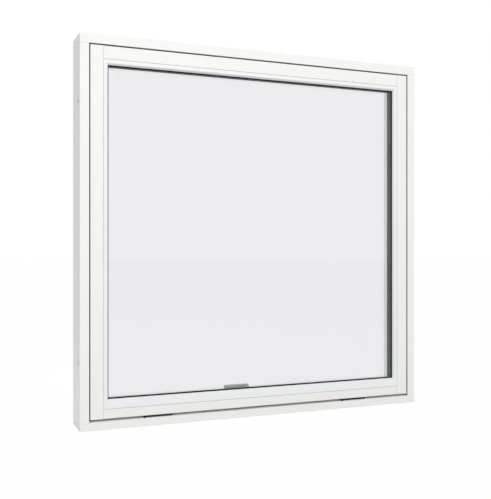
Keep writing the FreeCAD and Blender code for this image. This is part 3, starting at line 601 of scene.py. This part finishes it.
class WINDOW_OT_frame(WindowOperator, bpy.types.Operator):
    """Build the painted head, sill and jambs of the frame, with painted shade in the rebates of the head and jambs
    """

    bl_idname = "window.frame"
    bl_label = "Frame"

    def execute(self, context):
        look = context.scene.window_timber
        for along in "XZ":
            sprayed_pine("sprayed_pine_" + along, look.paint, look, along)
            # the darker copy is painted shade for the rebates, not a real primer
            sprayed_pine("rebate_shade_pine_" + along, look.painted_shade, look, along)
        low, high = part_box("sash_top_rail")
        stop = high.y + REBATE_PAST_SASH
        for name, along, way in (("head", "X", (0, 0, -1)), ("sill", "X", None),
                                 ("jamb_left", "Z", (1, 0, 0)), ("jamb_right", "Z", (-1, 0, 0))):
            # the rebate faces behind the sash's edges take the darker colour: painted shade for the gap round the
            # sash
            shaded_rebate = (bpy.data.materials["rebate_shade_pine_" + along],
                      lambda middle, normal: normal.dot(Vector(way)) > 0.9 and low.y < middle.y < stop)
            eased("painted_" + name, ["frame_" + name], bpy.data.materials["sprayed_pine_" + along],
                  look.arris, [shaded_rebate] if way else [])
        return {"FINISHED"}


class WINDOW_OT_sash(WindowOperator, bpy.types.Operator):
    """Build the painted stiles and rails of the sash, and its coated glazing beads"""

    bl_idname = "window.sash"
    bl_label = "Sash"

    def execute(self, context):
        look = context.scene.window_timber
        outer = {"top": ("_rail", "X", (0, 0, 1)), "bottom": ("_rail", "X", (0, 0, -1)),
                 "left": ("stile_", "Z", (-1, 0, 0)), "right": ("stile_", "Z", (1, 0, 0))}
        coat = powder_coated_bead(look)
        joint_shade_finish = painted_joint_shade(look)
        for side, (kind, along, way) in outer.items():
            way = Vector(way)
            member = kind + side if along == "Z" else side + kind
            # the chamfers that meet in the V joints round the beads take a grey of painted shade
            eased("painted_" + member, ["sash_" + member], bpy.data.materials["sprayed_pine_" + along],
                  look.arris,
                  [(joint_shade_finish, lambda middle, normal: normal.dot(way) < -0.4 and normal.y < -0.4)])
            eased("coated_bead_" + side, ["bead_" + side], coat, look.arris * 0.6,
                  [(joint_shade_finish, lambda middle, normal: normal.dot(way) > 0.4 and normal.y < -0.4)])
        return {"FINISHED"}


class WINDOW_OT_glazing(WindowOperator, bpy.types.Operator):
    """Build the three panes, the perforated spacer bars, the gasket, the tape and the blocks"""

    bl_idname = "window.glazing"
    bl_label = "Glazing"

    def execute(self, context):
        look = context.scene.window_glazing
        glass = float_glass(look)
        for side in ("outer", "middle", "inner"):
            pane = eased("pane_" + side, ["glass_" + side], glass, 0.0005)
            pane.visible_shadow = False
        spacer_finish = extruded_spacer(look)
        # the holes are thin black rubber discs: painted shade, not real openings
        hole_shade_finish = extruded_epdm("painted_hole_shade", look)
        for side in ("outer", "inner"):
            self.spacer(look, "spacer_" + side, spacer_finish, hole_shade_finish)
        self.gasket(look)
        eased("sealed_edge", ["edge_sealant"], tooled_sealant(), 0.0008)
        eased("inner_tape", ["glazing_tape"], extruded_epdm("glazing_tape_rubber", look),
              0.0006)
        eased("packed_blocks", ["setting_blocks"], moulded_polyamide(), 0.0006)
        return {"FINISHED"}

    def spacer(self, look, node, finish_material, hole_shade_material):
        """A bar with two shallow grooves along the face that shows, and a row of thin black rubber discs in each
        groove, painted shade for its holes.
        """
        low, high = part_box(node)
        deep, back, height = low.y, high.y, bar_width(node)
        inner_low = low + Vector((height, 0, height))
        inner_high = high - Vector((height, 0, height))
        grooves = []
        wide = back - deep
        for share in GROOVE_SHARES:
            middle = deep + wide * share
            grooves += [(0.0, middle - 0.0011), (0.0005, middle - 0.0007), (0.0005, middle + 0.0007),
                        (0.0, middle + 0.0011)]
        points = [(0.0008, deep), (0.0, deep + 0.0006), *grooves, (0.0, back - 0.0006), (0.0008, back),
                  (height, back), (height, deep)]
        bar = swept("ribbed_" + node, points, inner_low, inner_high, 0.002, finish_material)
        finish(bar, node, [node])
        rows = bpy.data.meshes.new("hole_rows")
        rows.from_pydata([(0, deep + wide * share, 0) for share in GROOVE_SHARES], [], [])
        values = {"Width": inner_high.x - inner_low.x + 2 * GROOVE_FLOOR,
                  "Height": inner_high.z - inner_low.z + 2 * GROOVE_FLOOR,
                  "Corner": 0.002, "Centre": (inner_low.z + inner_high.z) / 2, "Pitch": look.hole_pitch,
                  "Hole": look.hole, "Finish": hole_shade_material}
        holes = grown("holes_" + node, rows, perforation_tree(), values)
        finish(holes, node)

    def gasket(self, look):
        """A wedge gasket with a rounded lip on the glass, a groove, and a flat tongue under the bead."""
        low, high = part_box("glazing_gasket")
        lip = bar_width("glazing_gasket")
        front, back = low.y, high.y
        points = [(0.0, back), (0.0001, back - 0.0008), (0.0006, back - 0.0015), (0.0014, back - 0.0019),
                  (0.0024, back - 0.002), (0.003, back - 0.0017), (0.0033, back - 0.0014),
                  (0.0037, back - 0.0018), (0.0042, front), (lip, front), (lip, back)]
        inner_low = low + Vector((lip, 0, lip))
        inner_high = high - Vector((lip, 0, lip))
        gasket = swept("wedge_gasket", points, inner_low, inner_high, 0.001,
                       extruded_epdm("glazing_gasket_rubber", look))
        finish(gasket, "glazing_gasket", ["glazing_gasket"])


class WINDOW_OT_seal(WindowOperator, bpy.types.Operator):
    """Build the weather seal round the frame's stop, and the run-up blocks on the sill"""

    bl_idname = "window.seal"
    bl_label = "Seal and run-up blocks"

    def execute(self, context):
        look = context.scene.window_glazing
        low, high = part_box("weather_seal")
        wide, front, back = bar_width("weather_seal"), low.y, high.y
        mid = wide / 2
        bulb = [(mid + 0.0031 * math.cos(t), front + 0.0023 - 0.0023 * math.sin(t))
                for t in (math.pi * i / 12 for i in range(13))]
        points = [(wide, back), (wide, back - 0.0012), (mid + 0.0031, back - 0.0014), *bulb,
                  (mid - 0.0031, back - 0.0014), (0.0, back - 0.0012), (0.0, back)]
        inner_low = low + Vector((wide, 0, wide))
        inner_high = high - Vector((wide, 0, wide))
        seal = swept("bulb_seal", points, inner_low, inner_high, 0.004,
                     extruded_epdm("weather_seal_rubber", look))
        finish(seal, "weather_seal", ["weather_seal"])
        eased("moulded_run_up_blocks", ["run_up_blocks"], bpy.data.materials["moulded_polyamide"],
              0.0005)
        return {"FINISHED"}


class WINDOW_OT_stays(WindowOperator, bpy.types.Operator):
    """Build the stays: tracks on the jambs, bars on the sash, links and sliding shoes"""

    bl_idname = "window.stays"
    bl_label = "Stays"

    def execute(self, context):
        look = context.scene.window_fittings
        zinc = zinc_plated_steel(look)
        nylon = moulded_nylon(look)
        for side in ("left", "right"):
            eased("plated_track_" + side, ["stay_track_" + side], zinc, 0.0002)
            eased("plated_bar_" + side, ["sash_bar_" + side], zinc, 0.0003)
            eased("plated_link_" + side, ["stay_link_" + side], zinc, 0.0003)
            eased("moulded_shoe_" + side, ["stay_shoe_" + side], nylon, 0.0003)
        eased("plated_sleeves", ["fixing_sleeves"], zinc, 0.0003)
        return {"FINISHED"}


class WINDOW_OT_crank(WindowOperator, bpy.types.Operator):
    """Build the crank operator: base, cover, worm shaft, arms, crank and knob, and the sash's tracks"""

    bl_idname = "window.crank"
    bl_label = "Crank operator"

    def execute(self, context):
        look = context.scene.window_fittings
        zinc = bpy.data.materials["zinc_plated_steel"]
        nylon = bpy.data.materials["moulded_nylon"]
        coat = powder_coated_casting(look)
        profile = anodised_aluminium()
        eased("cast_base", ["operator_base"], coat, 0.0004)
        eased("cast_cover", ["operator_cover"], coat, 0.0005)
        eased("cast_crank", ["crank_arm"], coat, 0.0)
        eased("plated_shaft", ["worm_shaft"], zinc, 0.0002)
        eased("plated_crank_screw", ["crank_screw"], zinc, 0.0004)
        eased("plated_knob_pin", ["knob_pin"], zinc, 0.0004)
        eased("plated_clips", ["arm_clips"], zinc, 0.0001)
        for side in ("left", "right"):
            eased("plated_arm_" + side, ["operator_arm_" + side], zinc, 0.0004)
            eased("moulded_button_" + side, ["arm_button_" + side], nylon, 0.0004)
            eased("anodised_track_" + side, ["arm_track_" + side], profile, 0.0003)
        self.knob(look)
        return {"FINISHED"}

    def knob(self, look):
        """A barrel-shaped knob with two finger grooves and rounded rims."""
        spin = next(joint for joint in frame["joints"] if joint["name"] == "knob_spin")
        axis = Vector(spin["axis"]).normalized()
        points = [v.co for v in NODES["crank_knob"].data.vertices]
        heights = [p.dot(axis) for p in points]
        foot, top = min(heights), max(heights)
        middle = sum((Vector(p) for p in points), Vector()) / len(points)
        centre = middle - axis * (middle.dot(axis) - foot)
        tall = top - foot
        shape = []
        for i in range(49):
            share = i / 48
            swell = 0.72 + 0.28 * math.sin(math.pi * min(share / KNOB_WIDEST, 1.0) / 2)
            swell -= 0.2 * max(share - KNOB_WIDEST, 0.0) ** 2 / 0.38**2
            groove = 0.045 * sum(math.exp(-(((share - place) / 0.035) ** 2)) for place in (0.34, 0.58))
            rim = 0.09 * (math.exp(-share / 0.03) + math.exp(-(1 - share) / 0.03))
            shape.append((KNOB_RADIUS * (swell - groove - rim), tall * share))
        profile = [(KNOB_BORE, 0.0), *shape, (KNOB_BORE, tall)]
        piece = lathed("moulded_knob", profile, centre, axis, look.knob_sides, moulded_abs(look))
        finish(piece, "crank_knob", ["crank_knob"])


class WINDOW_OT_screws(WindowOperator, bpy.types.Operator):
    """Build the countersunk screws with their cross recesses, where each row of screws stands"""

    bl_idname = "window.screws"
    bl_label = "Screws"

    def execute(self, context):
        look = context.scene.window_fittings
        zinc = bpy.data.materials["zinc_plated_steel"]
        tree = screw_tree()
        for node in ("frame_screws", "stay_track_screws", "sash_bar_screws", "arm_track_screws",
                     "operator_base_screws", "operator_cover_screws"):
            self.row(look, tree, node, zinc)
        return {"FINISHED"}

    def row(self, look, tree, node, material):
        """The screws of one CAD node: each stands along its longest side, with its head at the wide end."""
        points, ways = [], []
        for low, high, verts in islands(node):
            size = high - low
            along = max(range(3), key=lambda i: size[i])
            middle = (low + high) / 2
            others = [i for i in range(3) if i != along]
            reach = {}
            for end in (low.freeze(), high.freeze()):
                rim = [v for v in verts if abs(v[along] - end[along]) < SAME_LEVEL]
                reach[end] = max(abs(v[i] - middle[i]) for v in rim for i in others)
            end = max(reach, key=reach.get)
            point = middle.copy()
            point[along] = end[along]
            way = Vector((0, 0, 0))
            way[along] = 1.0 if end is high else -1.0
            points.append(point)
            ways.append(way)
        head = max(size[i] for i in others) / 2
        length = size[along]
        shank = head * SHANK_SHARE
        mesh = bpy.data.meshes.new(node)
        mesh.from_pydata(points, [], [])
        facing = mesh.attributes.new("out", "FLOAT_VECTOR", "POINT")
        facing.data.foreach_set("vector", [c for way in ways for c in way])
        depth = head - shank
        values = {"Head": head, "Foot": shank, "Head Depth": depth, "Head Foot": -depth, "Shank": shank,
                  "Length": length - depth, "Recess": head * 2 * look.recess * 0.9,
                  "Recess Depth": depth * 0.9, "Finish": material}
        piece = grown("plated_" + node, mesh, tree, values)
        piece.data.set_sharp_from_angle(angle=math.radians(35))
        finish(piece, node, [node])


class WINDOW_OT_stage(WindowOperator, bpy.types.Operator):
    """Set the pale floor, the soft studio light and the camera"""

    bl_idname = "window.stage"
    bl_label = "Stage"

    def execute(self, context):
        look = context.scene.window_stage
        self.floor(look)
        self.world(context.scene, look)
        self.lamp("front_softbox", (-0.9, -3.2, 3.2), (0, 0, 0.9), 2.0, look.front_watts)
        self.lamp("back_softbox", (-0.1, 1.4, 0.7), (0.35, 0, 0.6), 0.8, look.back_watts)
        self.camera(context.scene, look)
        context.scene.view_settings.view_transform = "Standard"
        return {"FINISHED"}

    def floor(self, look):
        """A wide sheet of pale paper, lit from below where it is looked at, so that it stays even."""
        work = bmesh.new()
        bmesh.ops.create_circle(work, cap_ends=True, segments=64, radius=FLOOR_RADIUS)
        bmesh.ops.translate(work, verts=work.verts, vec=(0, 0, -FLOOR_DROP))
        mesh = bpy.data.meshes.new("floor")
        work.to_mesh(mesh)
        work.free()
        material, tree, place, shader = new_material("matt_paper")
        fibre = add(tree, "ShaderNodeTexNoise", {"Vector": place, "Scale": 1 / 0.01, "Detail": 2})
        tone = add(tree, "ShaderNodeMix", {0: fibre.outputs[0], 6: shade(look.floor, 0.99), 7: look.floor},
                   data_type="RGBA")
        tree.links.new(tone.outputs[2], shader.inputs["Base Color"])
        shader.inputs["Roughness"].default_value = 1.0
        shader.inputs["Specular IOR Level"].default_value = 0.0
        lit = add(tree, "ShaderNodeEmission", {"Color": (1, 1, 1, 1), "Strength": 1.0})
        share = add(tree, "ShaderNodeMath", {0: straight_sight(tree), 1: look.floor_glow},
                    operation="MULTIPLY")
        both = add(tree, "ShaderNodeMixShader",
                   {0: share.outputs[0], 1: shader.outputs[0], 2: lit.outputs[0]})
        tree.links.new(both.outputs[0], tree.nodes["Material Output"].inputs["Surface"])
        mesh.materials.append(material)
        new_object("floor", mesh)

    def world(self, scene, look):
        """Soft white walls, brighter in front of the window and above it, with a plain white backdrop."""
        world = bpy.data.worlds.new("studio")
        world.use_nodes = True
        tree = world.node_tree
        tree.nodes.clear()
        way = add(tree, "ShaderNodeTexCoord").outputs["Generated"]
        facing = add(tree, "ShaderNodeVectorMath", {0: way, 1: Vector(BRIGHT_SIDE).normalized()},
                     operation="DOT_PRODUCT")
        scaled = add(tree, "ShaderNodeMath", {0: facing.outputs["Value"], 1: look.slant, 2: look.fill},
                     operation="MULTIPLY_ADD")
        strength = add(tree, "ShaderNodeMix", {0: straight_sight(tree), 2: scaled.outputs[0], 3: 1.0},
                       data_type="FLOAT")
        light = add(tree, "ShaderNodeBackground", {"Color": (1, 1, 1, 1), "Strength": strength.outputs[0]})
        add(tree, "ShaderNodeOutputWorld", {"Surface": light.outputs[0]})
        scene.world = world

    def lamp(self, name, place, target, size, watts):
        """A square soft lamp that faces a point and is not seen itself."""
        data = bpy.data.lights.new(name, "AREA")
        data.shape, data.size, data.energy = "SQUARE", size, watts
        lamp = bpy.data.objects.new(name, data)
        bpy.context.scene.collection.objects.link(lamp)
        lamp.location = place
        lamp.rotation_euler = (Vector(target) - Vector(place)).to_track_quat("-Z", "Y").to_euler()
        lamp.visible_camera = lamp.visible_transmission = lamp.visible_glossy = False

    def camera(self, scene, look):
        """A level camera, turned a little to the right."""
        data = bpy.data.cameras.new("camera")
        data.lens, data.sensor_width = look.lens, 36.0
        data.shift_y = CAMERA_SHIFT
        camera = bpy.data.objects.new("camera", data)
        scene.collection.objects.link(camera)
        camera.location = CAMERA_PLACE
        camera.rotation_euler = (math.pi / 2, 0, math.radians(CAMERA_TURN))
        scene.camera = camera


class WINDOW_PT_pieces(bpy.types.Panel):
    """The pieces of the window, in the order they are built"""

    bl_idname = "WINDOW_PT_pieces"
    bl_label = "Crank window"
    bl_space_type = "VIEW_3D"
    bl_region_type = "UI"
    bl_category = "Window"

    def draw(self, context):
        for settings in ("window_timber", "window_glazing", "window_fittings", "window_stage"):
            group = getattr(context.scene, settings)
            box = self.layout.box()
            for label in group.bl_rna.properties.keys():
                if label not in {"rna_type", "name"}:
                    box.prop(group, label)
        for kind in OPERATORS:
            self.layout.operator(kind.bl_idname)


SETTINGS = {"window_timber": TimberSettings, "window_glazing": GlazingSettings,
            "window_fittings": FittingSettings, "window_stage": StageSettings}
OPERATORS = (WINDOW_OT_frame, WINDOW_OT_sash, WINDOW_OT_glazing, WINDOW_OT_seal, WINDOW_OT_stays,
             WINDOW_OT_crank, WINDOW_OT_screws, WINDOW_OT_stage)


def register():
    for kind in (*SETTINGS.values(), *OPERATORS, WINDOW_PT_pieces):
        bpy.utils.register_class(kind)
    for label, kind in SETTINGS.items():
        setattr(bpy.types.Scene, label, PointerProperty(type=kind))


def unregister():
    for label in SETTINGS:
        delattr(bpy.types.Scene, label)
    for kind in reversed((*SETTINGS.values(), *OPERATORS, WINDOW_PT_pieces)):
        bpy.utils.unregister_class(kind)


def main():
    register()
    bpy.ops.window.frame()
    bpy.ops.window.sash()
    bpy.ops.window.glazing()
    bpy.ops.window.seal()
    bpy.ops.window.stays()
    bpy.ops.window.crank()
    bpy.ops.window.screws()
    bpy.ops.window.stage()


if __name__ == "__main__":
    main()
